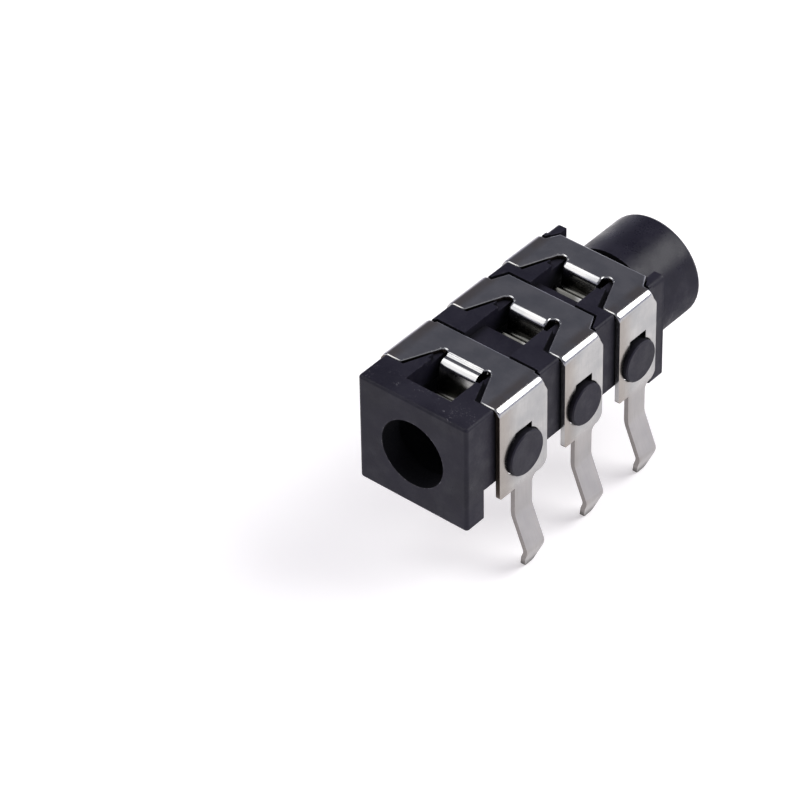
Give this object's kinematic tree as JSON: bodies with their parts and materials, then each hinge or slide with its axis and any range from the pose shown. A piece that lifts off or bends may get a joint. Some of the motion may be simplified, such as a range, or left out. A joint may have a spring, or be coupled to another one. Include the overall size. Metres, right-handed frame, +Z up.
{
  "type": "audio jack socket",
  "caption": "Through-hole audio jack socket with a round mouth, a boxed body and folded contact straps with leaf springs and pins.",
  "frame": {"origin": "where the plug's axis meets the plane of the mouth", "axes": "+X to the right as seen by the plug going in, +Y from the mouth to the rear wall, +Z up, away from the board"},
  "size_m": [0.007, 0.015, 0.0083],
  "materials": {
    "housing": "matt moulded black plastic",
    "contact_sheet": "bright plated spring sheet"
  },
  "bodies": {
    "root": {"housing": "housing", "sleeve_contact": "contact_sheet", "ring_contact": "contact_sheet", "tip_contact": "contact_sheet"}
  },
  "joints": []
}
